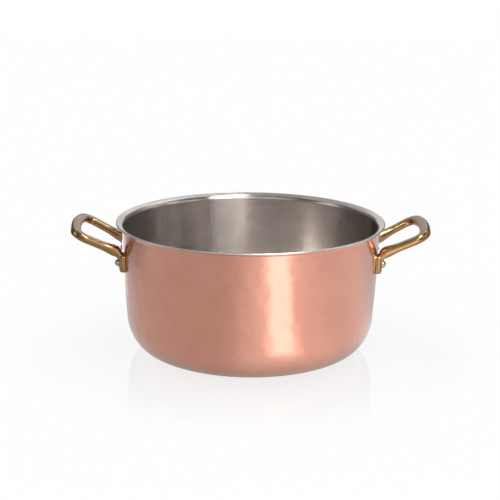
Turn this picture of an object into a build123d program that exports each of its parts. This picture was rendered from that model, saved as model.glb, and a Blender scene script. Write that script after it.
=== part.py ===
"""Round copper pan with a flared pouring lip and two riveted brass loop handles.

The body is one drawn sheet of three bonded metals: copper outside, aluminium in the middle
and stainless steel inside. All lengths are in millimetres and all angles in degrees.
The origin is the middle of the underside, +Z is up, and the handles stand out along X.
"""
import os
from math import asin, atan, cos, degrees, radians, sin, sqrt, tan

from build123d import *

# Body
lip_diameter = 280.0
pan_height = 136.6
copper_thickness = 0.5
aluminium_thickness = 1.0
steel_thickness = 0.5

# Lower wall: a tight heel, then a wider knee
heel_radius = 28.4
heel_turn = 51.4
knee_radius = 43.7

# Upper wall: leans outward less and less from the knee to the lip
wall_lean_low = 4.9
wall_lean_top = 0.5

# Pouring lip, its angle measured from upright
lip_bend_radius = 3.3
lip_run = 3.2
lip_angle = 69.0

# Rivets
rivet_height = 97.9
rivet_head_radius = 3.75
rivet_head_height = 4.3
rivet_rim_height = 0.7
rivet_shank_radius = 2.4
rivet_inner_head_radius = 4.6
rivet_inner_head_height = 1.5
rivet_clearance = 0.05

# Handle feet
foot_azimuth = 13.1
foot_width = 15.2
foot_height = 19.2
foot_thickness = 5.3
foot_corner_radius = 3.2
foot_edge_radius = 2.8
foot_clearance = 0.05
head_seat_clearance = 0.3

# Handle loop
length_over_handles = 373.8
loop_tilt = 26.1
arm_rise = 8.5
bar_bow_radius = 135.0
loop_corner_radius = 11.2
arm_width = 10.0
arm_thickness = 8.4
bar_width = 11.0
bar_thickness = 8.8
section_round_share = 0.44

# Arm root, where the arm swells and turns down into its foot
root_width = 12.0
root_thickness = 11.6
root_standoff = 6.4
root_bend_radius = 10.0
root_rise_angle = 68.0
root_tail = 8.0
root_tail_thickness = 3.4
root_fade = 13.0

# How far the swelling has grown at the start and in the middle of the root's bend, and how far
# it has gone again half way along its fade
root_start_share = 0.52
root_middle_share = 0.9
root_fade_middle_share = 0.6

hole_overrun = 20.0

# Worked out from the sizes above
sheet_thickness = copper_thickness + aluminium_thickness + steel_thickness
lip_radius = lip_diameter / 2
nose_radius = sheet_thickness / 2
nose_centre = (lip_radius - nose_radius, pan_height - nose_radius)
lip_run_direction = (sin(radians(lip_angle)), cos(radians(lip_angle)))
lip_bend_centre = (
    nose_centre[0] - lip_run * lip_run_direction[0] + (lip_bend_radius + nose_radius) * lip_run_direction[1],
    nose_centre[1] - lip_run * lip_run_direction[1] - (lip_bend_radius + nose_radius) * lip_run_direction[0],
)
wall_top_radius = lip_bend_centre[0] - lip_bend_radius * cos(radians(wall_lean_top))
wall_top_height = lip_bend_centre[1] + lip_bend_radius * sin(radians(wall_lean_top))
knee_turn = 90 - wall_lean_low - heel_turn
knee_base_height = heel_radius * (1 - cos(radians(heel_turn)))
knee_top_height = knee_base_height + knee_radius * (cos(radians(heel_turn)) - sin(radians(wall_lean_low)))
wall_turn = wall_lean_low - wall_lean_top
wall_radius = (wall_top_height - knee_top_height) / (sin(radians(wall_lean_low)) - sin(radians(wall_lean_top)))
wall_base_radius = wall_top_radius - wall_radius * (cos(radians(wall_lean_top)) - cos(radians(wall_lean_low)))
knee_base_radius = wall_base_radius - knee_radius * (cos(radians(wall_lean_low)) - sin(radians(heel_turn)))
base_radius = knee_base_radius - heel_radius * sin(radians(heel_turn))


def wall_radius_at(height, depth=0):
    """Distance from the axis to the upper wall, `depth` inside its copper face."""
    lean = asin(sin(radians(wall_lean_top)) + (wall_top_height - height) / wall_radius)
    return wall_top_radius - wall_radius * (cos(radians(wall_lean_top)) - cos(lean)) - depth * cos(lean)


seat_radius = wall_radius_at(rivet_height)
foot_face_radius = seat_radius + foot_thickness


# Body sheet

def lip_end(depth):
    """End of the lip at a depth in the sheet, on the circle that rounds the sheet's edge."""
    side = depth - nose_radius
    ahead = sqrt(max(nose_radius**2 - side**2, 0))
    return (
        nose_centre[0] + ahead * lip_run_direction[0] - side * lip_run_direction[1],
        nose_centre[1] + ahead * lip_run_direction[1] + side * lip_run_direction[0],
    )


def draw_sheet_line(depth):
    """Half section of the pan, `depth` inside its copper face, from the axis to the lip's bend."""
    base = Line((0, depth), (base_radius, depth))
    heel = JernArc(base @ 1, base % 1, heel_radius - depth, heel_turn)
    knee = JernArc(heel @ 1, heel % 1, knee_radius - depth, knee_turn)
    wall = JernArc(knee @ 1, knee % 1, wall_radius - depth, wall_turn)
    return JernArc(wall @ 1, wall % 1, lip_bend_radius + depth, wall_lean_top - lip_angle) @ 1


def ply_section(outer_depth, inner_depth):
    """Half section of one metal of the sheet, from one depth to another."""
    with BuildSketch(Plane.XZ) as section:
        with BuildLine():
            outer_bend_end = draw_sheet_line(outer_depth)
            inner_bend_end = draw_sheet_line(inner_depth)
            Line(outer_bend_end, lip_end(outer_depth))
            Line(inner_bend_end, lip_end(inner_depth))
            middle_depth = (outer_depth + inner_depth) / 2
            ThreePointArc(lip_end(outer_depth), lip_end(middle_depth), lip_end(inner_depth))
            Line((0, outer_depth), (0, inner_depth))
        make_face()
    return section.sketch


def rivet_plane(azimuth, radius):
    """Plane square to a rivet at a distance from the pan's axis, facing outward."""
    outward = Vector(cos(radians(azimuth)), sin(radians(azimuth)), 0)
    return Plane(
        origin=outward * radius + Vector(0, 0, rivet_height),
        x_dir=Vector(-outward.Y, outward.X, 0),
        z_dir=outward,
    )


def cut_rivet_hole(azimuth):
    """Hole for one rivet's shank, right through the sheet and the handle's foot."""
    with BuildSketch(rivet_plane(azimuth, seat_radius)) as hole:
        Circle(rivet_shank_radius + rivet_clearance)
    extrude(hole.sketch, amount=hole_overrun, both=True, mode=Mode.SUBTRACT)


right_rivet_azimuths = {"front": -foot_azimuth, "rear": foot_azimuth}
left_rivet_azimuths = {"front": 180 + foot_azimuth, "rear": 180 - foot_azimuth}
rivet_azimuths = [*right_rivet_azimuths.values(), *left_rivet_azimuths.values()]

with BuildPart() as copper_skin:
    revolve(ply_section(0, copper_thickness), axis=Axis.Z)
    for azimuth in rivet_azimuths:
        cut_rivet_hole(azimuth)
copper_skin.part.label = "copper_skin"

with BuildPart() as aluminium_core:
    revolve(ply_section(copper_thickness, copper_thickness + aluminium_thickness), axis=Axis.Z)
    for azimuth in rivet_azimuths:
        cut_rivet_hole(azimuth)
aluminium_core.part.label = "aluminium_core"

with BuildPart() as steel_lining:
    revolve(ply_section(copper_thickness + aluminium_thickness, sheet_thickness), axis=Axis.Z)
    for azimuth in rivet_azimuths:
        cut_rivet_hole(azimuth)
steel_lining.part.label = "steel_lining"


# Rivets

def cap_radius(base_radius, height):
    """Radius of the ball that a domed cap is cut from."""
    return (base_radius**2 + height**2) / (2 * height)


def add_rivet(azimuth):
    """Dome outside, shank through the foot and the sheet, low head inside."""
    lining_radius = wall_radius_at(rivet_height - rivet_inner_head_radius, sheet_thickness)
    inner_seat = sqrt(lining_radius**2 - rivet_inner_head_radius**2) - rivet_clearance
    rim = foot_face_radius + rivet_rim_height
    dome_radius = cap_radius(rivet_head_radius, rivet_head_height - rivet_rim_height)
    inner_dome_radius = cap_radius(rivet_inner_head_radius, rivet_inner_head_height)
    square_to_axis = rivet_plane(azimuth, 0)
    along_axis = Plane(
        origin=square_to_axis.origin, x_dir=square_to_axis.z_dir, z_dir=square_to_axis.x_dir
    )
    with BuildSketch(along_axis) as section:
        with BuildLine():
            inner_dome = RadiusArc(
                (inner_seat - rivet_inner_head_height, 0),
                (inner_seat, rivet_inner_head_radius),
                inner_dome_radius,
            )
            dome = RadiusArc((rim, rivet_head_radius), (foot_face_radius + rivet_head_height, 0), dome_radius)
            Polyline(
                inner_dome @ 1,
                (inner_seat, rivet_shank_radius),
                (foot_face_radius, rivet_shank_radius),
                (foot_face_radius, rivet_head_radius),
                dome @ 0,
            )
            Line(dome @ 1, inner_dome @ 0)
        make_face()
    revolve(section.sketch, axis=Axis(square_to_axis.origin, square_to_axis.z_dir))


with BuildPart() as rivet_right_front:
    add_rivet(right_rivet_azimuths["front"])
rivet_right_front.part.label = "rivet_right_front"

with BuildPart() as rivet_right_rear:
    add_rivet(right_rivet_azimuths["rear"])
rivet_right_rear.part.label = "rivet_right_rear"

with BuildPart() as rivet_left_front:
    add_rivet(left_rivet_azimuths["front"])
rivet_left_front.part.label = "rivet_left_front"

with BuildPart() as rivet_left_rear:
    add_rivet(left_rivet_azimuths["rear"])
rivet_left_rear.part.label = "rivet_left_rear"


# Handles: both arms lie in one tilted plane, each straight out from its own foot

arm_slope_share = tan(radians(loop_tilt)) * cos(radians(foot_azimuth))
arm_slope = degrees(atan(arm_slope_share))
loop_origin_height = rivet_height + arm_rise - seat_radius * arm_slope_share
loop_plane = Plane(
    origin=(0, 0, loop_origin_height),
    x_dir=(cos(radians(loop_tilt)), 0, sin(radians(loop_tilt))),
    z_dir=(-sin(radians(loop_tilt)), 0, cos(radians(loop_tilt))),
)
arm_heading = degrees(atan(tan(radians(foot_azimuth)) * cos(radians(loop_tilt))))
bar_round = section_round_share * min(bar_width, bar_thickness)
bar_half_length_in_x = (
    (bar_width / 2 - bar_round) * cos(radians(loop_tilt))
    + (bar_thickness / 2 - bar_round) * sin(radians(loop_tilt))
    + bar_round
)
bar_distance = (length_over_handles / 2 - bar_half_length_in_x) / cos(radians(loop_tilt))


def corner_start_distance():
    """How far out along an arm its corner begins, so that the corner meets the bowed bar."""
    bow_centre = bar_distance - bar_bow_radius
    reach = bow_centre * cos(radians(arm_heading))
    offset_x = loop_corner_radius * sin(radians(arm_heading)) - bow_centre
    offset_y = loop_corner_radius * cos(radians(arm_heading))
    spare = (bar_bow_radius - loop_corner_radius) ** 2 - offset_x**2 - offset_y**2
    return reach + sqrt(reach**2 + spare)


corner_distance = corner_start_distance()
corner_side = corner_distance * sin(radians(arm_heading)) - loop_corner_radius * cos(radians(arm_heading))
bar_half_turn = degrees(asin(corner_side / (bar_bow_radius - loop_corner_radius)))
corner_turn = 90 - bar_half_turn + arm_heading

# The front arm's root, in the upright plane of that arm: steep from the foot, then along the arm
front_outward = Vector(cos(radians(foot_azimuth)), -sin(radians(foot_azimuth)), 0)
upward = Vector(0, 0, 1)
root_steep = front_outward * cos(radians(root_rise_angle)) + upward * sin(radians(root_rise_angle))
root_along = front_outward * cos(radians(arm_slope)) + upward * sin(radians(arm_slope))
root_corner_radius = seat_radius + root_standoff
root_corner_height = loop_origin_height + root_corner_radius * arm_slope_share
root_corner = front_outward * root_corner_radius + upward * root_corner_height
root_turn = root_rise_angle - arm_slope
root_tangent_length = root_bend_radius * tan(radians(root_turn / 2))
root_start = root_corner - root_steep * root_tangent_length
root_plane = Plane(origin=root_start, x_dir=root_steep, z_dir=root_steep.cross(root_along))

tail_size = (root_width, root_tail_thickness)
root_size = (root_width, root_thickness)
arm_size = (arm_width, arm_thickness)
bar_size = (bar_width, bar_thickness)


def blend(first, second, share):
    """Width and thickness part of the way from one section to another."""
    return tuple(a + (b - a) * share for a, b in zip(first, second))


def section_at(line, share, normal, size):
    """Plane square to the line, with its x direction across the loop, and the size there."""
    along = line % share
    return Plane(origin=line @ share, x_dir=along.cross(normal), z_dir=along), size


def mirrored(section):
    """The section of the rear arm that faces a section of the front arm."""
    plane, size = section
    origin = Vector(plane.origin.X, -plane.origin.Y, plane.origin.Z)
    across = Vector(plane.x_dir.X, -plane.x_dir.Y, plane.x_dir.Z)
    along = Vector(-plane.z_dir.X, plane.z_dir.Y, -plane.z_dir.Z)
    return Plane(origin=origin, x_dir=across, z_dir=along), size


with BuildLine(root_plane):
    root_tail_line = Line((-root_tail, 0), (0, 0))
    root_bend = JernArc(root_tail_line @ 1, root_tail_line % 1, root_bend_radius, root_turn)

with BuildLine(loop_plane):
    arm_end = (corner_distance * cos(radians(arm_heading)), -corner_distance * sin(radians(arm_heading)))
    arm = Line(root_bend @ 1, arm_end)
    corner = JernArc(arm @ 1, arm % 1, loop_corner_radius, corner_turn)
    half_bar = JernArc(corner @ 1, corner % 1, bar_bow_radius, bar_half_turn)

corner_shares = (0, 1 / 3, 2 / 3, 1)
fade_share = root_fade / arm.length
loop_up = loop_plane.z_dir
front_sections = [
    section_at(root_tail_line, 0, upward, tail_size),
    section_at(root_bend, 0, upward, blend(tail_size, root_size, root_start_share)),
    section_at(root_bend, 0.5, upward, blend(tail_size, root_size, root_middle_share)),
    section_at(root_bend, 1, upward + loop_up, root_size),
    section_at(arm, fade_share / 2, loop_up, blend(root_size, arm_size, root_fade_middle_share)),
    section_at(arm, fade_share, loop_up, arm_size),
    *[section_at(corner, share, loop_up, blend(arm_size, bar_size, share)) for share in corner_shares],
    section_at(half_bar, 0.5, loop_up, bar_size),
]
middle_section = section_at(half_bar, 1, loop_up, bar_size)
loop_sections = [*front_sections, middle_section, *[mirrored(section) for section in reversed(front_sections)]]


def add_foot(azimuth):
    """Flat-faced plate with rounded front edges, round one rivet."""
    plane = rivet_plane(azimuth, seat_radius - foot_thickness / 2)
    with BuildSketch(plane) as outline:
        RectangleRounded(foot_width, foot_height, foot_corner_radius)
    extrude(outline.sketch, amount=foot_thickness * 1.5)
    front_face = faces(Select.LAST).sort_by(Axis(plane.origin, plane.z_dir))[-1]
    fillet(front_face.edges(), foot_edge_radius)


def cut_head_seat(azimuth):
    """Room for one rivet's outer head, from the face of the foot outward."""
    with BuildSketch(rivet_plane(azimuth, foot_face_radius)) as seat:
        Circle(rivet_head_radius + head_seat_clearance)
    extrude(seat.sketch, amount=hole_overrun, mode=Mode.SUBTRACT)


with BuildPart() as right_handle:
    for azimuth in right_rivet_azimuths.values():
        add_foot(azimuth)
    for plane, size in loop_sections:
        with BuildSketch(plane):
            RectangleRounded(*size, section_round_share * min(size))
    loft()
    # Both feet are hollowed to the wall
    with BuildSketch(Plane.XZ):
        with BuildLine():
            lip_bend_end = draw_sheet_line(-foot_clearance)
            Polyline((0, -foot_clearance), (0, lip_bend_end.Y), lip_bend_end)
        make_face()
    revolve(axis=Axis.Z, mode=Mode.SUBTRACT)
    for azimuth in right_rivet_azimuths.values():
        cut_head_seat(azimuth)
        cut_rivet_hole(azimuth)
right_handle.part.label = "right_handle"

with BuildPart() as left_handle:
    add(right_handle.part, rotation=(0, 0, 180))
left_handle.part.label = "left_handle"

os.makedirs("parts", exist_ok=True)
for piece in (
    copper_skin,
    aluminium_core,
    steel_lining,
    right_handle,
    left_handle,
    rivet_right_front,
    rivet_right_rear,
    rivet_left_front,
    rivet_left_rear,
):
    export_step(piece.part, f"parts/{piece.part.label}.step")
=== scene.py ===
from math import atan, degrees, radians

import bpy
import numpy as np
from mathutils import Matrix, Vector


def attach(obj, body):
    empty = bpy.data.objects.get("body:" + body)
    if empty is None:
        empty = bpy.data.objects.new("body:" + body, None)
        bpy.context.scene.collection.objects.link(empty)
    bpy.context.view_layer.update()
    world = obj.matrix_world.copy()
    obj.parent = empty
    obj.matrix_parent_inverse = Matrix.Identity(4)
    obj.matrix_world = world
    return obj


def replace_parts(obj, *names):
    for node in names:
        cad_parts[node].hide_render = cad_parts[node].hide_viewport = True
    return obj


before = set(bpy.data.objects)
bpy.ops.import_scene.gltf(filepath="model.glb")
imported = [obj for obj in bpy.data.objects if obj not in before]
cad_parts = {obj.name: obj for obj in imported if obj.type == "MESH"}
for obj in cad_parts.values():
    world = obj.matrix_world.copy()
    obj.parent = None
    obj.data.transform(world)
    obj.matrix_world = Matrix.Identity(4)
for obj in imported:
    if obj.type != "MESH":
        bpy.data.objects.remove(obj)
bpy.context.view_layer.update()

# A round copper pan with a steel lining, a pouring lip and two riveted brass loop handles.
# Shapes are worked out in millimetres and degrees, and turned to metres as they enter a mesh.
mm = 0.001

print("Frame loaded:", sorted(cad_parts))


# Angles in degrees
def sine(angle):
    return np.sin(np.radians(angle))


def cosine(angle):
    return np.cos(np.radians(angle))


def unit(rows):
    return rows / np.linalg.norm(rows, axis=-1, keepdims=True)


# A share that starts and ends gently: 3t^2 - 2t^3 of how far a value is from low to high
def ease(value, low, high):
    share = np.clip((value - low) / (high - low), 0, 1)
    return share * share * (3 - 2 * share)


# A share of 1 within a stretch, that falls gently to 0 over the fades before and after it
def within(value, stretch, fades):
    low, high = stretch
    return ease(value, low - fades[0], low) * (1 - ease(value, high, high + fades[1]))


# Points of a grid as one mesh: each row is a ring, neighbouring rows are joined by four-sided faces,
# and an end ring closes on a pole by a fan of triangles
def gridMesh(grid, startPole=None, endPole=None):
    rows, columns = grid.shape[:2]
    number = np.arange(rows * columns).reshape(rows, columns)
    right = np.roll(number, -1, axis=1)
    quads = np.stack([number[:-1], right[:-1], right[1:], number[1:]], axis=-1).reshape(-1, 4)
    points, fans = grid.reshape(-1, 3), np.empty((0, 3), int)
    for pole, row, order in ((startPole, 0, (0, 2, 1)), (endPole, -1, (0, 1, 2))):
        if pole is not None:
            fan = np.stack([np.full(columns, len(points)), number[row], right[row]], axis=-1)
            points, fans = np.vstack([points, pole]), np.vstack([fans, fan[:, order]])
    return points, quads, fans


# Piece from points in millimetres, shaded smooth
def makePiece(name, points, quads, fans):
    mesh = bpy.data.meshes.new(name)
    mesh.from_pydata((points * mm).tolist(), [], quads.tolist() + fans.tolist())
    mesh.polygons.foreach_set("use_smooth", np.full(len(mesh.polygons), True))
    mesh.update()
    piece = bpy.data.objects.new(name, mesh)
    bpy.context.scene.collection.objects.link(piece)
    return piece


# One value for each point of a mesh, which a material reads by the attribute's name
def setValues(mesh, name, values):
    mesh.attributes.new(name, "FLOAT", "POINT").data.foreach_set("value", values.astype(np.float32).ravel())


# Body sheet: copper outside, aluminium in the middle, steel inside
sheet = dict(
    lipRadius=140.0,
    height=136.6,
    copper=0.5,
    aluminium=1.0,
    steel=0.5,
    heelRadius=28.4,
    heelTurn=51.4,
    kneeRadius=43.7,
    wallLeanLow=4.9,
    wallLeanTop=0.5,
    lipBendRadius=3.3,
    lipRun=3.2,
    lipAngle=69.0,
    columns=480,
    rowStep=1.6,  # distance between rows up the wall
    baseRows=40,
    lipRows=8,
)

sheetThickness = sheet["copper"] + sheet["aluminium"] + sheet["steel"]
noseRadius = sheetThickness / 2
noseCentre = np.array([sheet["lipRadius"] - noseRadius, sheet["height"] - noseRadius])
lipAhead = np.array([sine(sheet["lipAngle"]), cosine(sheet["lipAngle"])])
lipAcross = np.array([-lipAhead[1], lipAhead[0]])  # from copper towards steel
lipBendCentre = noseCentre - lipAhead * sheet["lipRun"] - lipAcross * (sheet["lipBendRadius"] + noseRadius)
wallTop = lipBendCentre + sheet["lipBendRadius"] * np.array(
    [-cosine(sheet["wallLeanTop"]), sine(sheet["wallLeanTop"])]
)
kneeTurn = 90 - sheet["wallLeanLow"] - sheet["heelTurn"]
wallTurn = sheet["wallLeanLow"] - sheet["wallLeanTop"]
kneeBase = sheet["heelRadius"] * (1 - cosine(sheet["heelTurn"]))
kneeTop = kneeBase + sheet["kneeRadius"] * (cosine(sheet["heelTurn"]) - sine(sheet["wallLeanLow"]))
wallRadius = (wallTop[1] - kneeTop) / (sine(sheet["wallLeanLow"]) - sine(sheet["wallLeanTop"]))
wallFoot = wallTop[0] - wallRadius * (cosine(sheet["wallLeanTop"]) - cosine(sheet["wallLeanLow"]))
kneeFoot = wallFoot - sheet["kneeRadius"] * (cosine(sheet["wallLeanLow"]) - sine(sheet["heelTurn"]))
baseRadius = kneeFoot - sheet["heelRadius"] * sine(sheet["heelTurn"])


# Arc of a given radius that leaves a point at a heading and turns by an angle:
# the centre stands square to the heading, and each point is the centre plus the radius at that angle
def arcFrom(start, heading, radius, turn, step):
    count = max(3, int(np.ceil(abs(np.radians(turn)) * radius / step)))
    side = np.sign(turn)
    headings = heading + np.linspace(0, turn, count + 1)[1:]
    centre = start + side * radius * np.array([-sine(heading), cosine(heading)])
    return centre - side * radius * np.stack([-sine(headings), cosine(headings)], axis=-1), headings[-1]


# Half section of the pan at a depth inside its copper face, from the base to the end of the lip:
# base line, heel arc, knee arc, long wall arc, lip bend and straight lip
def sheetLine(depth):
    step = sheet["rowStep"]
    rows = sheet["baseRows"] - 1
    line = np.stack([np.linspace(0, baseRadius, rows + 1)[1:], np.full(rows, depth)], axis=-1)
    heading, parts = 0.0, [line]
    for radius, turn, fineness in (
        (sheet["heelRadius"] - depth, sheet["heelTurn"], step),
        (sheet["kneeRadius"] - depth, kneeTurn, step),
        (wallRadius - depth, wallTurn, step),
        (sheet["lipBendRadius"] + depth, sheet["wallLeanTop"] - sheet["lipAngle"], step / 4),
    ):
        arc, heading = arcFrom(parts[-1][-1], heading, radius, turn, fineness)
        parts.append(arc)
    side = depth - noseRadius
    end = noseCentre + lipAhead * np.sqrt(max(noseRadius**2 - side**2, 0)) + lipAcross * side
    start = parts[-1][-1]
    parts.append(start + (end - start) * np.linspace(0, 1, sheet["lipRows"] + 1)[1:, None])
    return np.vstack(parts)


# Round end of one metal: from one depth to another on the circle that rounds the sheet's edge
def sheetEnd(outerDepth, innerDepth):
    sides = np.linspace(outerDepth, innerDepth, sheet["lipRows"] + 2)[1:-1, None] - noseRadius
    return noseCentre + lipAhead * np.sqrt(np.maximum(noseRadius**2 - sides**2, 0)) + lipAcross * sides


# Radius of the wall's copper face at a height: the long arc's lean there is the angle whose sine grows evenly
# from the wall's top down, and the radius falls by the arc's radius times the drop in the lean's cosine
def wallRadiusAt(height):
    lean = np.degrees(np.arcsin(np.clip(
        sine(sheet["wallLeanTop"]) + (wallTop[1] - height) / wallRadius, -1, 1
    )))
    return wallTop[0] - wallRadius * (cosine(sheet["wallLeanTop"]) - cosine(lean))


# Soft planishing: the depth of the hammered face at an azimuth and a height is a sum of long waves,
# each a sine of whole turns round the pan and of a run up the wall
planish = dict(
    seed=7,
    waves=40,
    shortest=8.0,
    longest=26.0,
    longPower=1.3,  # how much stronger the long waves are
    depth=0.24,
    footStart=1.0,
    fadeFoot=12.0,
    fadeLip=9.0,
)


def planishDepth(azimuth, height):
    dice = np.random.default_rng(planish["seed"])
    depth = np.zeros(np.broadcast(azimuth, height).shape)
    weight = 0
    for _ in range(planish["waves"]):
        length = dice.uniform(planish["shortest"], planish["longest"])
        slant, phase = dice.uniform(0, 180), dice.uniform(0, 360)
        turns = np.round(2 * np.pi * sheet["lipRadius"] / length * abs(cosine(slant)))
        size = (length / planish["longest"]) ** planish["longPower"]
        rise = 360 / length * sine(slant) * np.sign(cosine(slant) + 1e-9)
        depth += size * sine(turns * azimuth + rise * height + phase)
        weight += size**2
    depth = planish["depth"] * (0.5 + 0.5 * np.clip(depth / np.sqrt(weight * 2), -1, 1))
    below = sheet["height"] - height
    foot = ease(height, planish["footStart"], planish["fadeFoot"])
    return depth * foot * ease(below, planish["fadeLip"], 2 * planish["fadeLip"])


# One metal of the sheet: a closed profile carried round the pan's axis, radius and height at each azimuth
def sheetPiece(name, outerDepth, innerDepth, dent=None):
    outer, inner = sheetLine(outerDepth), sheetLine(innerDepth)
    profile = np.vstack([outer, sheetEnd(outerDepth, innerDepth), inner[::-1]])
    azimuth = np.arange(sheet["columns"]) * 360.0 / sheet["columns"]
    radius, height = profile[:, :1] + 0 * azimuth, profile[:, 1:] + 0 * azimuth
    if dent is not None:
        radius[:len(outer)] -= dent(azimuth, height[:len(outer)])
    grid = np.stack([radius * cosine(azimuth), radius * sine(azimuth), height], axis=-1)
    points, quads, fans = gridMesh(grid, startPole=(0, 0, outerDepth), endPole=(0, 0, innerDepth))
    piece = makePiece(name, points, quads, fans)
    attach(piece, "root")
    return piece


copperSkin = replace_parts(sheetPiece("copperSkin", 0, sheet["copper"], planishDepth), "copper_skin")
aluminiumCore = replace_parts(
    sheetPiece("aluminiumCore", sheet["copper"], sheet["copper"] + sheet["aluminium"]), "aluminium_core"
)
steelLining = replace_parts(
    sheetPiece("steelLining", sheet["copper"] + sheet["aluminium"], sheetThickness), "steel_lining"
)
print("Body sheet made:", len(copperSkin.data.polygons), "faces on the copper")


# Rivets: a steel dome on each foot and a low head inside the pan
rivet = dict(
    azimuth=13.1,
    height=97.9,
    headRadius=3.75,
    headHeight=4.3,
    rim=0.7,
    shankRadius=2.4,
    innerRadius=4.6,
    innerHeight=1.5,
    clearance=0.05,
    seatGap=0.01,  # between the outer head's flat and its foot
    rimRise=0.06,
    innerRise=0.03,
    edge=0.25,  # rounding at the outer head's foot
    columns=72,
    innerRows=12,
    outerRows=18,
)
footThickness = 5.3
seatRadius = wallRadiusAt(rivet["height"])
footFace = seatRadius + footThickness


# Domed cap as part of a ball: its profile from the middle of the cap to its rim
def capProfile(rimRadius, height, count):
    ball = (rimRadius**2 + height**2) / (2 * height)
    angle = np.linspace(0, np.degrees(np.arcsin(min(rimRadius / ball, 1))), count + 1)[1:]
    return np.stack([ball * sine(angle), height - ball * (1 - cosine(angle))], axis=-1)


# A rivet is one profile carried round its own axis, from the inner head to the outer dome
def rivetPiece(name, azimuth):
    liningRadius = wallRadiusAt(rivet["height"] - rivet["innerRadius"]) - sheetThickness
    innerSeat = np.sqrt(liningRadius**2 - rivet["innerRadius"] ** 2) - rivet["clearance"]
    inner = capProfile(rivet["innerRadius"], rivet["innerHeight"], rivet["innerRows"])
    inner = inner * (1, -1) + (0, innerSeat)
    outer = capProfile(rivet["headRadius"], rivet["headHeight"] - rivet["rim"], rivet["outerRows"])
    outer = outer[::-1] + (0, footFace + rivet["rim"])
    innerFace, outerFace = innerSeat + rivet["innerRise"], footFace + rivet["seatGap"]
    rims = [
        (rivet["innerRadius"] - rivet["clearance"], innerFace),
        (rivet["shankRadius"], innerFace),
        (rivet["shankRadius"], outerFace),
        (rivet["headRadius"] - rivet["edge"], outerFace),
        (rivet["headRadius"] - rivet["rimRise"], outerFace + rivet["rimRise"]),
        (rivet["headRadius"], footFace + rivet["edge"]),
    ]
    profile = np.vstack([inner, rims, outer])
    turn = np.arange(rivet["columns"]) * 360.0 / rivet["columns"]
    outward = np.array([cosine(azimuth), sine(azimuth), 0])
    sideways = np.array([-sine(azimuth), cosine(azimuth), 0])
    upward = np.array([0, 0, 1.0])
    ring = sideways * cosine(turn)[:, None] + upward * sine(turn)[:, None]
    middle = upward * rivet["height"]
    grid = middle + profile[:, None, :1] * ring[None] + profile[:, None, 1:] * outward
    points, quads, fans = gridMesh(
        grid,
        startPole=middle + outward * (innerSeat - rivet["innerHeight"]),
        endPole=middle + outward * (footFace + rivet["headHeight"]),
    )
    piece = makePiece(name, points, quads, fans)
    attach(piece, "root")
    return piece


rivets = []
for name, node, azimuth in (
    ("rivetRightFront", "rivet_right_front", -rivet["azimuth"]),
    ("rivetRightRear", "rivet_right_rear", rivet["azimuth"]),
    ("rivetLeftFront", "rivet_left_front", 180 + rivet["azimuth"]),
    ("rivetLeftRear", "rivet_left_rear", 180 - rivet["azimuth"]),
):
    rivets.append(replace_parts(rivetPiece(name, azimuth), node))
print("Rivets made:", len(rivets))


# Handle: a cast loop whose two arms swell and turn down onto the riveted feet
handle = dict(
    footWidth=15.2,
    footHeight=19.2,
    footCorner=3.2,
    footEdge=2.8,
    footSink=0.7,  # how far a foot starts inside the wall before it is hollowed to it
    faceInsets=(3.0, 5.0, 7.0),  # rings across the foot's flat face
    cornerShare=0.6,  # how much of an inset is taken from the corner radius
    leastCorner=0.3,
    footColumns=96,
    footSideRows=8,
    footEdgeRows=6,
    wallClearance=0.05,
    overHandles=373.8,
    tilt=26.1,
    armRise=8.5,
    barBow=135.0,
    cornerRadius=11.2,
    arm=(10.0, 8.4),
    bar=(11.0, 8.8),
    # Width and thickness of the section at the tail's end, at the start and middle of the root bend,
    # at its end and halfway along the fade to the arm
    tail=(12.0, 3.4),
    neck=(12.0, 7.4),
    throat=(12.0, 10.8),
    root=(12.0, 11.6),
    shoulder=(10.9, 9.7),
    rootStandoff=6.4,
    rootBend=10.0,
    rootRise=68.0,
    rootTail=8.0,
    rootFade=13.0,
    squareness=3.0,  # 2 is an oval section, higher is squarer
    seatClearance=0.35,
    seatReach=12.0,  # how far ahead of a foot its rivet's seat is cut clear
    step=0.7,
    columns=56,
    voxel=0.36,
    softenRounds=5,
    blendRounds=26,
    # The crease between arm and foot, from the wall outwards and up from the rivet: a stretch and its fades
    creaseOut=((4.8, 8.5), (2.0, 3.0)),
    creaseAbove=((4.0, 11.0), (3.0, 3.0)),
)

slopeShare = np.tan(radians(handle["tilt"])) * cosine(rivet["azimuth"])
armSlope = degrees(atan(slopeShare))
loopOriginHeight = rivet["height"] + handle["armRise"] - seatRadius * slopeShare
armHeading = degrees(atan(np.tan(radians(rivet["azimuth"])) * cosine(handle["tilt"])))
barRound = 0.44 * min(handle["bar"])
barHalfInX = (
    (handle["bar"][0] / 2 - barRound) * cosine(handle["tilt"])
    + (handle["bar"][1] / 2 - barRound) * sine(handle["tilt"])
    + barRound
)
barDistance = (handle["overHandles"] / 2 - barHalfInX) / cosine(handle["tilt"])
bowCentre = barDistance - handle["barBow"]
bowReach = bowCentre * cosine(armHeading)
bowOffset = np.array([
    handle["cornerRadius"] * sine(armHeading) - bowCentre, handle["cornerRadius"] * cosine(armHeading)
])
cornerDistance = bowReach + np.sqrt(
    bowReach**2 + (handle["barBow"] - handle["cornerRadius"]) ** 2 - (bowOffset**2).sum()
)
cornerSide = cornerDistance * sine(armHeading) - handle["cornerRadius"] * cosine(armHeading)
barHalfTurn = degrees(np.arcsin(cornerSide / (handle["barBow"] - handle["cornerRadius"])))
loopUp = np.array([-sine(handle["tilt"]), 0, cosine(handle["tilt"])])  # square to the loop's plane


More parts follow.
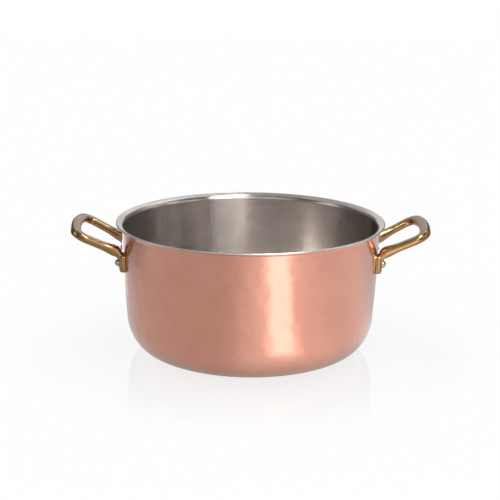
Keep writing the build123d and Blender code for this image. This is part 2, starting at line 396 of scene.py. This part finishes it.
# Centre line of the right handle's front half, with the direction that faces up and the section's
# width and thickness at each point: tail, root bend, arm, corner and half the bowed bar
def halfLoop():
    step = handle["step"]
    outward = np.array([cosine(rivet["azimuth"]), -sine(rivet["azimuth"]), 0])
    upward = np.array([0, 0, 1.0])
    rise = np.stack([outward, upward])
    corner = np.array([seatRadius + handle["rootStandoff"], 0])
    corner[1] = loopOriginHeight + corner[0] * slopeShare
    rootTurn = handle["rootRise"] - armSlope
    steep = np.array([cosine(handle["rootRise"]), sine(handle["rootRise"])])
    start = corner - steep * handle["rootBend"] * np.tan(radians(rootTurn / 2))
    tail = start - steep * np.linspace(handle["rootTail"], 0, int(handle["rootTail"] / step) + 2)[:, None]
    bend, _ = arcFrom(start, handle["rootRise"], handle["rootBend"], -rootTurn, step)
    root = np.vstack([tail, bend]) @ rise

    armEnd = cornerDistance * np.array([cosine(armHeading), -sine(armHeading)])
    cornerTurn = 90 - barHalfTurn + armHeading
    cornerArc, heading = arcFrom(armEnd, -armHeading, handle["cornerRadius"], cornerTurn, step)
    barArc, _ = arcFrom(cornerArc[-1], heading, handle["barBow"], barHalfTurn, step)
    flat = np.vstack([armEnd[None], cornerArc, barArc])
    loopAxes = np.array([[cosine(handle["tilt"]), 0, sine(handle["tilt"])], [0, 1, 0]])
    loop = flat @ loopAxes + upward * loopOriginHeight
    armCount = int(np.linalg.norm(loop[0] - root[-1]) / step)
    arm = root[-1] + (loop[0] - root[-1]) * np.linspace(0, 1, armCount + 1)[1:-1, None]
    line = np.vstack([root, arm, loop])

    run = np.append(0, np.cumsum(np.linalg.norm(np.diff(line, axis=0), axis=1)))
    rootRun, armRun = run[len(root) - 1], run[len(root) + len(arm)]
    bendRun, cornerRun = run[len(tail) - 1], run[len(root) + len(arm) + len(cornerArc)]
    shoulderRun = rootRun + handle["rootFade"] / 2
    sections = [
        (0, "tail"), (bendRun, "neck"), ((bendRun + rootRun) / 2, "throat"), (rootRun, "root"),
        (shoulderRun, "shoulder"), (rootRun + handle["rootFade"], "arm"), (armRun, "arm"),
        (cornerRun, "bar"), (run[-1], "bar"),
    ]
    stations = [station for station, _ in sections]
    sizes = np.array([handle[part] for _, part in sections])
    width, depth = (soften(np.interp(run, stations, size)) for size in sizes.T)
    lean = ease(run, bendRun, shoulderRun)[:, None]
    return line, unit(upward * (1 - lean) + loopUp * lean), width, depth


# Running average over a few millimetres, so that a section's size changes without a kink
def soften(values, reach=5):
    kernel = np.bartlett(2 * reach + 3)[1:-1]
    padded = np.pad(values, reach, mode="edge")
    return np.convolve(padded, kernel / kernel.sum(), mode="valid")


# Surface along a line: each ring is a squared oval, |x/a|^n + |y/b|^n = 1, square to the line
def sweptLoop(line, up, width, depth):
    along = unit(np.gradient(line, axis=0))
    across = unit(np.cross(along, up))
    over = np.cross(across, along)
    angle = np.arange(handle["columns"]) * 360.0 / handle["columns"]
    power = 2 / handle["squareness"]
    x = np.sign(cosine(angle)) * np.abs(cosine(angle)) ** power / 2
    y = np.sign(sine(angle)) * np.abs(sine(angle)) ** power / 2
    return (
        line[:, None]
        + (width[:, None] * x)[..., None] * across[:, None]
        + (depth[:, None] * y)[..., None] * over[:, None]
    )


# Foot: rounded outlines stacked from inside the wall to the front face, the last ones drawn in round the edge
def footSurface(azimuth):
    edge = handle["footEdge"]
    quarter = np.linspace(0, 90, handle["footEdgeRows"] + 1)[1:]
    depths = [-handle["footSink"], *np.linspace(0, footThickness - edge, handle["footSideRows"])]
    insets = np.append([0] * len(depths), edge * (1 - cosine(quarter)))
    depths = np.append(depths, footThickness - edge + edge * sine(quarter))
    depths = np.append(depths, [footThickness] * len(handle["faceInsets"]))
    insets = np.append(insets, handle["faceInsets"])
    angle = (np.arange(handle["footColumns"]) + 0.5) * 360.0 / handle["footColumns"]
    halfWidth, halfHeight = handle["footWidth"] / 2, handle["footHeight"] / 2
    corner = np.maximum(handle["footCorner"] - insets * handle["cornerShare"], handle["leastCorner"])[:, None]
    x = (halfWidth - insets[:, None] - corner) * np.sign(cosine(angle)) + corner * cosine(angle)
    y = (halfHeight - insets[:, None] - corner) * np.sign(sine(angle)) + corner * sine(angle)
    outward = np.array([cosine(azimuth), sine(azimuth), 0])
    sideways = np.array([-sine(azimuth), cosine(azimuth), 0])
    upward = np.array([0, 0, 1.0])
    middle = outward * seatRadius + upward * rivet["height"]
    grid = middle + x[..., None] * sideways + y[..., None] * upward + depths[:, None, None] * outward
    poles = middle - outward * handle["footSink"], middle + outward * footThickness
    return gridMesh(grid, startPole=poles[0], endPole=poles[1])


# Every point moves by a share towards the mean of its neighbours along the mesh's edges,
# then a little back, so that creases soften and the form keeps its size
def relax(points, edges, weight, rounds):
    count = np.bincount(edges.ravel(), minlength=len(points))[:, None]
    for turn in range(rounds * 2):
        pull = 0.5 if turn % 2 == 0 else -0.52
        total = np.stack([
            np.bincount(edges[:, 0], points[edges[:, 1], axis], len(points))
            + np.bincount(edges[:, 1], points[edges[:, 0], axis], len(points))
            for axis in range(3)
        ], axis=-1)
        points = points + weight[:, None] * pull * (total / count - points)
    return points


def castHandle(name):
    line, up, width, depth = halfLoop()
    flip = np.array([1, -1, 1])
    line = np.vstack([line, line[-2::-1] * flip])
    up = np.vstack([up, up[-2::-1] * flip])
    width, depth = np.append(width, width[-2::-1]), np.append(depth, depth[-2::-1])
    grid = sweptLoop(line, up, width, depth)
    parts = [gridMesh(grid[:, ::-1], startPole=line[0], endPole=line[-1])]
    parts += [footSurface(azimuth) for azimuth in (-rivet["azimuth"], rivet["azimuth"])]
    offsets = np.cumsum([0] + [len(part[0]) for part in parts[:-1]])
    raw = makePiece(
        name + "Raw",
        np.vstack([part[0] for part in parts]),
        np.vstack([part[1] + offset for part, offset in zip(parts, offsets)]),
        np.vstack([part[2] + offset for part, offset in zip(parts, offsets)]),
    )
    remesh = raw.modifiers.new("oneCasting", "REMESH")
    remesh.mode = "VOXEL"
    remesh.voxel_size = handle["voxel"] * mm
    mesh = bpy.data.meshes.new_from_object(raw.evaluated_get(bpy.context.evaluated_depsgraph_get()))
    mesh.name = name
    bpy.data.objects.remove(raw)

    points = np.empty(len(mesh.vertices) * 3)
    mesh.vertices.foreach_get("co", points)
    points = points.reshape(-1, 3) / mm
    edges = np.empty(len(mesh.edges) * 2, int)
    mesh.edges.foreach_get("vertices", edges)
    edges = edges.reshape(-1, 2)
    points = relax(points, edges, np.ones(len(points)), handle["softenRounds"])
    # The crease where an arm meets its foot is filled as in a casting
    outward = np.hypot(points[:, 0], points[:, 1]) - seatRadius
    above = points[:, 2] - rivet["height"]
    near = within(outward, *handle["creaseOut"]) * within(above, *handle["creaseAbove"])
    points = relax(points, edges, near, handle["blendRounds"])
    points = seatOnWall(points)
    mesh.vertices.foreach_set("co", (points * mm).ravel())
    mesh.polygons.foreach_set("use_smooth", np.full(len(mesh.polygons), True))
    mesh.update()
    return mesh


# Points inside the wall or inside a rivet's dome are moved out to them, plus a hair's clearance
def seatOnWall(points):
    radius = np.hypot(points[:, 0], points[:, 1])
    least = wallRadiusAt(points[:, 2]) + handle["wallClearance"]
    grow = np.maximum(least / radius, 1)[:, None]
    points = points * np.hstack([grow, grow, np.ones_like(grow)])
    for azimuth in (-rivet["azimuth"], rivet["azimuth"]):
        outward = np.array([cosine(azimuth), sine(azimuth), 0])
        sideways = np.array([-sine(azimuth), cosine(azimuth), 0])
        ahead = points @ outward - footFace
        side, above = points @ sideways, points[:, 2] - rivet["height"]
        inside = np.hypot(side, above) < rivet["headRadius"] + handle["seatClearance"]
        sink = np.where(inside & (ahead > 0) & (ahead < handle["seatReach"]), ahead, 0)
        points = points - sink[:, None] * outward
    return points


# Faces that look straight up are greyer and rougher, most of all out on the bar
topFaces = dict(facing=(0.72, 0.95), out=(158, 172), armShare=0.35)


# Share of grey and roughness at each point: how far its normal faces up, times a share that grows from the
# arms to the bar
def addTopFaces(mesh):
    normals, points = np.empty((2, len(mesh.vertices) * 3))
    mesh.vertices.foreach_get("normal", normals)
    mesh.vertices.foreach_get("co", points)
    facing = ease(normals.reshape(-1, 3) @ loopUp, *topFaces["facing"])
    out = ease(np.abs(points.reshape(-1, 3)[:, 0]) / mm, *topFaces["out"])
    upFacingShare = facing * (topFaces["armShare"] + (1 - topFaces["armShare"]) * out)
    setValues(mesh, "upFacingShare", upFacingShare)


rightMesh = castHandle("rightHandle")
addTopFaces(rightMesh)
leftMesh = rightMesh.copy()
leftMesh.name = "leftHandle"
leftMesh.transform(Matrix.Rotation(np.pi, 4, "Z"))
handles = []
for name, mesh, node in (("rightHandle", rightMesh, "right_handle"), ("leftHandle", leftMesh, "left_handle")):
    piece = bpy.data.objects.new(name, mesh)
    bpy.context.scene.collection.objects.link(piece)
    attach(piece, "root")
    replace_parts(piece, node)
    handles.append(piece)
print("Handles made:", len(rightMesh.polygons), "faces each")


# sRGB hex to linear colour: a value's share of 255, over 12.92 when small, else that share plus 0.055,
# over 1.055, to the power 2.4
def colour(code):
    value = np.array([int(code[i:i + 2], 16) / 255 for i in (1, 3, 5)])
    value = np.where(value <= 0.04045, value / 12.92, ((value + 0.055) / 1.055) ** 2.4)
    return (*value.tolist(), 1.0)


# Adds one node with its settings and links; a key is an input's name or number, a property,
# or "stops" for the places and colours of a ramp
def addNode(tree, kind, settings=None, links=None):
    node = tree.nodes.new(kind)
    for key, value in (settings or {}).items():
        if key == "stops":
            for element, (place, shade) in zip(node.color_ramp.elements, value):
                element.position, element.color = place, colour(shade)
        elif isinstance(key, int) or key in node.inputs:
            node.inputs[key].default_value = value
        else:
            setattr(node, key, value)
    for key, source in (links or {}).items():
        tree.links.new(source, node.inputs[key])
    return node


def newTree(name):
    material = bpy.data.materials.new(name)
    material.use_nodes = True
    material.node_tree.nodes.clear()
    return material, material.node_tree


# Coordinates for lines that run round the pan, at any place of its section: radius plus height
# runs up the section from the middle of the base to the lip, and x and y change slowly along a line
def ringCoordinates(tree, lineSpacing, lineLength):
    place = addNode(tree, "ShaderNodeTexCoord").outputs["Object"]
    split = addNode(tree, "ShaderNodeSeparateXYZ", links={0: place})
    flat = addNode(tree, "ShaderNodeCombineXYZ", links={0: split.outputs[0], 1: split.outputs[1]})
    radius = addNode(tree, "ShaderNodeVectorMath", {"operation": "LENGTH"}, {0: flat.outputs[0]})
    run = addNode(
        tree, "ShaderNodeMath", {"operation": "ADD"}, {0: radius.outputs["Value"], 1: split.outputs[2]}
    )
    sources = split.outputs[0], split.outputs[1], run.outputs[0]
    scaled = [
        addNode(tree, "ShaderNodeMath", {"operation": "MULTIPLY", 1: 1 / (size * mm)}, {0: source}).outputs[0]
        for source, size in zip(sources, (lineLength, lineLength, lineSpacing))
    ]
    return addNode(tree, "ShaderNodeCombineXYZ", links=dict(enumerate(scaled))).outputs[0]


# Copper, drawn, satin polished by hand and lacquered: a soft warm pink with faint lines round the pan,
# under a thin clear coat that gives the highlight its white
copperFinish = dict(cloud=38, lineSpacing=0.9, lineLength=40)


def lacqueredCopper():
    material, tree = newTree("lacqueredCopper")
    place = addNode(tree, "ShaderNodeTexCoord").outputs["Object"]
    tarnish = addNode(
        tree,
        "ShaderNodeTexNoise",
        {"Scale": 1 / (copperFinish["cloud"] * mm), "Detail": 3.0, "Roughness": 0.55},
        {"Vector": place},
    )
    tint = addNode(
        tree, "ShaderNodeValToRGB", {"stops": [(0.3, "#e2947a"), (0.7, "#e79f86")]}, {0: tarnish.outputs[0]}
    )
    rings = ringCoordinates(tree, copperFinish["lineSpacing"], copperFinish["lineLength"])
    lines = addNode(tree, "ShaderNodeTexNoise", {"Scale": 1.0, "Detail": 2.0}, {"Vector": rings})
    gloss = addNode(
        tree,
        "ShaderNodeMapRange",
        {"From Min": 0.3, "From Max": 0.7, "To Min": 0.22, "To Max": 0.28},
        {"Value": lines.outputs[0]},
    )
    relief = addNode(
        tree, "ShaderNodeBump", {"Strength": 0.12, "Distance": 0.06 * mm}, {"Height": lines.outputs[0]}
    )
    around = addNode(tree, "ShaderNodeTangent", {"direction_type": "RADIAL", "axis": "Z"})
    shader = addNode(
        tree,
        "ShaderNodeBsdfPrincipled",
        {
            "Metallic": 1.0,
            "Anisotropic": 0.6,
            "Anisotropic Rotation": 0.25,
            "Coat Weight": 1.0,
            "Coat Roughness": 0.09,
            "Coat IOR": 1.8,
        },
        {
            "Base Color": tint.outputs[0],
            "Roughness": gloss.outputs[0],
            "Normal": relief.outputs[0],
            "Tangent": around.outputs[0],
        },
    )
    addNode(tree, "ShaderNodeOutputMaterial", links={"Surface": shader.outputs[0]})
    return material


# Stainless steel, brushed round the pan on a lathe: grey, with level lines too fine to see one by one,
# which stretch each highlight upright. They are drawn coarser than real ones.
steelFinish = dict(cloud=22, lineSpacing=0.8, lineLength=24)


def brushedStainless():
    material, tree = newTree("brushedStainless")
    place = addNode(tree, "ShaderNodeTexCoord").outputs["Object"]
    cloud = addNode(
        tree,
        "ShaderNodeTexNoise",
        {"Scale": 1 / (steelFinish["cloud"] * mm), "Detail": 4.0, "Roughness": 0.6},
        {"Vector": place},
    )
    tint = addNode(
        tree, "ShaderNodeValToRGB", {"stops": [(0.3, "#c8c0ba"), (0.7, "#d4cdc8")]}, {0: cloud.outputs[0]}
    )
    rings = ringCoordinates(tree, steelFinish["lineSpacing"], steelFinish["lineLength"])
    lines = addNode(
        tree, "ShaderNodeTexNoise", {"Scale": 1.0, "Detail": 4.0, "Roughness": 0.65}, {"Vector": rings}
    )
    gloss = addNode(
        tree,
        "ShaderNodeMapRange",
        {"From Min": 0.3, "From Max": 0.7, "To Min": 0.2, "To Max": 0.26},
        {"Value": lines.outputs[0]},
    )
    relief = addNode(
        tree, "ShaderNodeBump", {"Strength": 0.03, "Distance": 0.05 * mm}, {"Height": lines.outputs[0]}
    )
    around = addNode(tree, "ShaderNodeTangent", {"direction_type": "RADIAL", "axis": "Z"})
    shader = addNode(
        tree,
        "ShaderNodeBsdfPrincipled",
        {"Metallic": 1.0, "Anisotropic": 0.9, "Anisotropic Rotation": 0.25},
        {
            "Base Color": tint.outputs[0],
            "Roughness": gloss.outputs[0],
            "Normal": relief.outputs[0],
            "Tangent": around.outputs[0],
        },
    )
    addNode(tree, "ShaderNodeOutputMaterial", links={"Surface": shader.outputs[0]})
    return material


# Aluminium, rolled between the other two metals and trimmed: a plain pale line in the lip's edge
coreFinish = dict(lineSpacing=0.3, lineLength=12)


def trimmedAluminium():
    material, tree = newTree("trimmedAluminium")
    rings = ringCoordinates(tree, coreFinish["lineSpacing"], coreFinish["lineLength"])
    lines = addNode(tree, "ShaderNodeTexNoise", {"Scale": 1.0, "Detail": 2.0}, {"Vector": rings})
    tint = addNode(
        tree, "ShaderNodeValToRGB", {"stops": [(0.3, "#d3d6da"), (0.7, "#e2e4e8")]}, {0: lines.outputs[0]}
    )
    shader = addNode(
        tree, "ShaderNodeBsdfPrincipled", {"Metallic": 1.0, "Roughness": 0.3}, {"Base Color": tint.outputs[0]}
    )
    addNode(tree, "ShaderNodeOutputMaterial", links={"Surface": shader.outputs[0]})
    return material


# Brass, sand cast, filed and polished: warm yellow with a soft pebbled shine, greyer and rougher on faces
# that look up, most on the bar
brassFinish = dict(cloud=6, grain=0.8)


def castBrass():
    material, tree = newTree("castBrass")
    place = addNode(tree, "ShaderNodeTexCoord").outputs["Object"]
    cloud = addNode(
        tree,
        "ShaderNodeTexNoise",
        {"Scale": 1 / (brassFinish["cloud"] * mm), "Detail": 4.0, "Roughness": 0.6},
        {"Vector": place},
    )
    grain = addNode(
        tree,
        "ShaderNodeTexNoise",
        {"Scale": 1 / (brassFinish["grain"] * mm), "Detail": 2.0},
        {"Vector": place},
    )
    facingUp = addNode(tree, "ShaderNodeAttribute", {"attribute_name": "upFacingShare"}).outputs["Fac"]
    bright = addNode(
        tree, "ShaderNodeValToRGB", {"stops": [(0.3, "#a07c54"), (0.7, "#ad8a60")]}, {0: cloud.outputs[0]}
    )
    # A greyish brown is mixed in, and the roughness raised, where a face looks up
    tint = addNode(
        tree, "ShaderNodeMix", {"data_type": "RGBA", 7: colour("#a89684")}, {0: facingUp, 6: bright.outputs[0]}
    )
    topRoughness = addNode(tree, "ShaderNodeMapRange", {"To Min": 0.15, "To Max": 0.46}, {"Value": facingUp})
    uneven = addNode(
        tree, "ShaderNodeMath", {"operation": "MULTIPLY_ADD", 1: 0.08, 2: -0.04}, {0: cloud.outputs[0]}
    )
    gloss = addNode(tree, "ShaderNodeMath", {"operation": "ADD"}, {0: topRoughness.outputs[0], 1: uneven.outputs[0]})
    pebbles = addNode(
        tree, "ShaderNodeBump", {"Strength": 0.25, "Distance": 0.1 * mm}, {"Height": grain.outputs[0]}
    )
    swells = addNode(
        tree,
        "ShaderNodeBump",
        {"Strength": 0.3, "Distance": 0.4 * mm},
        {"Height": cloud.outputs[0], "Normal": pebbles.outputs[0]},
    )
    shader = addNode(
        tree,
        "ShaderNodeBsdfPrincipled",
        {"Metallic": 1.0},
        {"Base Color": tint.outputs[2], "Roughness": gloss.outputs[0], "Normal": swells.outputs[0]},
    )
    addNode(tree, "ShaderNodeOutputMaterial", links={"Surface": shader.outputs[0]})
    return material


# Steel, cold headed with a domed die: bright and smooth, with faint marks of the die
rivetFinish = dict(marks=1.6)


def headedSteel():
    material, tree = newTree("headedSteel")
    place = addNode(tree, "ShaderNodeTexCoord").outputs["Object"]
    marks = addNode(
        tree,
        "ShaderNodeTexNoise",
        {"Scale": 1 / (rivetFinish["marks"] * mm), "Detail": 3.0},
        {"Vector": place},
    )
    tint = addNode(
        tree, "ShaderNodeValToRGB", {"stops": [(0.3, "#a9a6a2"), (0.7, "#c4c1bd")]}, {0: marks.outputs[0]}
    )
    gloss = addNode(
        tree,
        "ShaderNodeMapRange",
        {"From Min": 0.3, "From Max": 0.7, "To Min": 0.16, "To Max": 0.26},
        {"Value": marks.outputs[0]},
    )
    shader = addNode(
        tree,
        "ShaderNodeBsdfPrincipled",
        {"Metallic": 1.0},
        {"Base Color": tint.outputs[0], "Roughness": gloss.outputs[0]},
    )
    addNode(tree, "ShaderNodeOutputMaterial", links={"Surface": shader.outputs[0]})
    return material


def dress(piece, material):
    piece.data.materials.clear()
    piece.data.materials.append(material)


dress(copperSkin, lacqueredCopper())
dress(steelLining, brushedStainless())
dress(aluminiumCore, trimmedAluminium())
brass = castBrass()
for piece in handles:
    dress(piece, brass)
steel = headedSteel()
for piece in rivets:
    dress(piece, steel)
print("Materials made")


# Studio: a white table and a round cloth tent with a tall bright panel at the front right
studio = dict(
    tentRadius=1.9,
    tableRadius=4.0,
    tentTop=84,  # elevation of the tent's last ring
    tentRows=43,
    columns=360,
    shadowShare=0.05,
    mirrorShare=0.15,
    mirrorStart=0.1,
    mirrorEnd=0.27,
    mirrorRoughness=0.02,
    clothLow=0.13,  # brightness of the tent's cloth itself, low down
    clothHigh=0.4,  # and near its top
    clothRise=(54, 76),  # elevations between which the one turns into the other
    tableGlow=0.57,  # brightness of the open table itself
    tableUnder=0.3,  # and under the pan
    underEdge=(85, 145),  # distances in millimetres between which the one turns into the other
)
# Lights on the tent's cloth. Each covers a stretch of angles from the camera's side, positive to the right,
# and a stretch of elevations, and fades out over the given angles beyond them.
tentLights = dict(
    frontWindow=dict(angle=(24, 39), angleFade=7, place=(50, 90), placeFade=14, glow=14),
    windowHeart=dict(angle=(24, 39), angleFade=7, place=(52, 56), placeFade=17, glow=16),
    windowSpill=dict(angle=(19, 22), angleFade=14, place=(76, 90), placeFade=18, glow=4),
    windowFoot=dict(angle=(11, 27), angleFade=16, place=(17, 37), placeFade=17, glow=1.8),
    frontCloth=dict(angle=(-24, -5), angleFade=33, place=(18, 30), placeFade=12, glow=1.0),
    leftCard=dict(angle=(-86, -79), angleFade=15, place=(17, 20), placeFade=14, glow=1.45),
    leftTopStrip=dict(angle=(-108, -99), angleFade=4, place=(52, 56), placeFade=18, glow=1.3),
    leftBackCloth=dict(angle=(-165, -140), angleFade=18, place=(34, 60), placeFade=16, glow=0.45),
    rightCard=dict(angle=(56, 62), angleFade=14, place=(14, 20), placeFade=14, glow=0.9),
    rightStrip=dict(angle=(77, 80), angleFade=7, place=(17, 21), placeFade=12, glow=1.8),
    rightCloth=dict(angle=(98, 116), angleFade=24, place=(17, 40), placeFade=14, glow=0.5),
    rightTopStrip=dict(angle=(131, 144), angleFade=5, place=(52, 56), placeFade=18, glow=2.7),
    backWall=dict(angle=(167, 193), angleFade=6, place=(0, 22), placeFade=20, glow=0.65),
    backTop=dict(angle=(157, 171), angleFade=16, place=(38, 56), placeFade=22, glow=0.9),
)
# Pools of light on the table, in the same way; here a place is a distance from the pan's axis in millimetres,
# and a light below zero is the shade of a dark card
tableLights = dict(
    windowPool=dict(angle=(16, 25), angleFade=8, place=(195, 4000), placeFade=45, glow=1.12),
    frontPool=dict(angle=(12, 27), angleFade=34, place=(165, 4000), placeFade=68, glow=0.4),
    rightPool=dict(angle=(56, 92), angleFade=34, place=(175, 4000), placeFade=75, glow=0.25),
    leftBackPool=dict(angle=(-166, -154), angleFade=34, place=(154, 4000), placeFade=62, glow=0.69),
    leftShade=dict(angle=(-132, -110), angleFade=25, place=(600, 4000), placeFade=300, glow=-0.3),
)


# Brightness on a grid of places and angles: what the cloth or table has of itself, plus every light's share
def glowOn(places, angles, lights, own):
    glow = own[:, None] + 0 * angles
    for light in lights.values():
        fades = [light["angleFade"]] * 2
        around = sum(within(angles + turn, light["angle"], fades) for turn in (-360, 0, 360))
        spot = within(places, light["place"], [light["placeFade"]] * 2)
        glow = glow + light["glow"] * spot[:, None] * around
    return glow


# Brightness that turns from one value to another over a stretch of places
def turning(place, stretch, first, last):
    return first + (last - first) * ease(place, *stretch)


# Tent: a half ball round the table; a point is the radius times the direction at an angle and an elevation
def makeTent():
    angle = np.linspace(-180, 180, studio["columns"], endpoint=False)
    elevation = np.linspace(0, studio["tentTop"], studio["tentRows"])
    radius = studio["tentRadius"] / mm
    level, rise = cosine(elevation)[:, None], sine(elevation)[:, None]
    grid = radius * np.stack([sine(angle) * level, -cosine(angle) * level, rise + 0 * angle], axis=-1)
    points, quads, fans = gridMesh(grid, endPole=(0, 0, radius))
    tent = makePiece("lightTent", points, quads[:, ::-1], fans[:, ::-1])
    cloth = turning(elevation, studio["clothRise"], studio["clothLow"], studio["clothHigh"])
    setValues(tent.data, "glow", np.append(glowOn(elevation, angle, tentLights, cloth), studio["clothHigh"]))
    material, tree = newTree("tentCloth")
    glow = addNode(tree, "ShaderNodeAttribute", {"attribute_name": "glow"})
    shine = addNode(tree, "ShaderNodeEmission", links={"Strength": glow.outputs["Fac"]})
    addNode(tree, "ShaderNodeOutputMaterial", links={"Surface": shine.outputs[0]})
    dress(tent, material)
    tent.visible_camera = False
    tent.visible_diffuse = False
    tent.visible_shadow = False
    tent.visible_transmission = False


# Table: rings round the pan. The camera sees it white with a soft shadow and a fading mirror image.
def makeTable():
    radius = np.append(np.linspace(40, 800, 39), [1100, 1500, 2200, 3000, studio["tableRadius"] / mm])
    angle = np.linspace(-180, 180, studio["columns"], endpoint=False)
    away = radius[:, None]
    grid = np.stack([away * sine(angle), -away * cosine(angle), 0 * away * angle - 0.1], axis=-1)
    points, quads, fans = gridMesh(grid, startPole=(0, 0, -0.1))
    table = makePiece("table", points, quads, fans)
    top = turning(radius, studio["underEdge"], studio["tableUnder"], studio["tableGlow"])
    setValues(table.data, "glow", np.append(glowOn(radius, angle, tableLights, top), studio["tableUnder"]))
    material, tree = newTree("whiteAcrylic")
    place = addNode(tree, "ShaderNodeTexCoord").outputs["Object"]
    away = addNode(tree, "ShaderNodeVectorMath", {"operation": "LENGTH"}, {0: place})
    fade = addNode(
        tree,
        "ShaderNodeMapRange",
        {
            "interpolation_type": "SMOOTHSTEP",
            "From Min": studio["mirrorStart"],
            "From Max": studio["mirrorEnd"],
            "To Min": studio["mirrorShare"],
            "To Max": 0.0,
        },
        {"Value": away.outputs["Value"]},
    )
    rays = addNode(tree, "ShaderNodeLightPath")
    lit = addNode(tree, "ShaderNodeBsdfDiffuse", {"Color": (1, 1, 1, 1)})
    white = addNode(tree, "ShaderNodeEmission", {"Strength": 1.0})
    shade = addNode(
        tree, "ShaderNodeMixShader", {0: studio["shadowShare"]}, {1: white.outputs[0], 2: lit.outputs[0]}
    )
    mirror = addNode(tree, "ShaderNodeBsdfGlossy", {"Roughness": studio["mirrorRoughness"]})
    seen = addNode(
        tree, "ShaderNodeMixShader", links={0: fade.outputs[0], 1: shade.outputs[0], 2: mirror.outputs[0]}
    )
    glow = addNode(tree, "ShaderNodeAttribute", {"attribute_name": "glow"})
    pool = addNode(tree, "ShaderNodeEmission", links={"Strength": glow.outputs["Fac"]})
    glossy = rays.outputs["Is Glossy Ray"]
    surface = addNode(tree, "ShaderNodeMixShader", links={0: glossy, 1: seen.outputs[0], 2: pool.outputs[0]})
    addNode(tree, "ShaderNodeOutputMaterial", links={"Surface": surface.outputs[0]})
    dress(table, material)


# World: white for what the camera, metal and glass see, and a little dimmer for the light on the table
def makeWorld():
    world = bpy.data.worlds.new("whiteRoom")
    world.use_nodes = True
    tree = world.node_tree
    tree.nodes.clear()
    rays = addNode(tree, "ShaderNodeLightPath")
    sees = rays.outputs["Is Camera Ray"]
    for other in ("Is Glossy Ray", "Is Transmission Ray"):
        either = addNode(tree, "ShaderNodeMath", {"operation": "MAXIMUM"}, {0: sees, 1: rays.outputs[other]})
        sees = either.outputs[0]
    strength = addNode(tree, "ShaderNodeMapRange", {"To Min": 0.9, "To Max": 1.0}, {"Value": sees})
    sky = addNode(tree, "ShaderNodeBackground", {"Color": (1, 1, 1, 1)}, {"Strength": strength.outputs[0]})
    addNode(tree, "ShaderNodeOutputWorld", links={"Surface": sky.outputs[0]})
    bpy.context.scene.world = world


# Lamp: a soft panel that faces the middle of the pan
def addPanel(name, angle, elevation, distance, size, watts):
    lamp = bpy.data.lights.new(name, "AREA")
    lamp.shape, lamp.size, lamp.size_y, lamp.energy = "RECTANGLE", *size, watts
    panel = bpy.data.objects.new(name, lamp)
    bpy.context.scene.collection.objects.link(panel)
    direction = np.array([
        sine(angle) * cosine(elevation), -cosine(angle) * cosine(elevation), sine(elevation)
    ])
    panel.location = Vector((direction * distance).tolist()) + Vector((0, 0, 0.07))
    panel.rotation_euler = Vector(direction.tolist()).to_track_quat("Z", "Y").to_euler()
    return panel


makeWorld()
makeTent()
makeTable()
addPanel("frontPanel", 28, 38, 1.6, (0.5, 0.9), 1)
print("Studio made")


# Camera, found from the pan's outline in the photograph
view = dict(
    location=(-0.0163, -1.2599, 0.43164),  # metres
    turn=0.741,
    pitch=14.602,
    roll=0.517,
    lens=89.14,
    shift=(-0.00065, 0.001),
)


def makeCamera():
    camera = bpy.data.objects.new("camera", bpy.data.cameras.new("camera"))
    bpy.context.scene.collection.objects.link(camera)
    camera.data.sensor_width, camera.data.lens = 36.0, view["lens"]
    camera.data.shift_x, camera.data.shift_y = view["shift"]
    camera.data.clip_start, camera.data.clip_end = 0.05, 30.0
    level = cosine(view["pitch"])
    ahead = Vector((sine(view["turn"]) * level, cosine(view["turn"]) * level, -sine(view["pitch"])))
    right = ahead.cross(Vector((0, 0, 1))).normalized()
    upward = right.cross(ahead)
    rolled = right * cosine(view["roll"]) + upward * sine(view["roll"])
    axes = Matrix((rolled, ahead.cross(rolled) * -1, -ahead)).transposed()
    camera.matrix_world = Matrix.Translation(view["location"]) @ axes.to_4x4()
    bpy.context.scene.camera = camera


makeCamera()
bpy.context.scene.view_settings.view_transform = "Standard"
print("Camera placed")
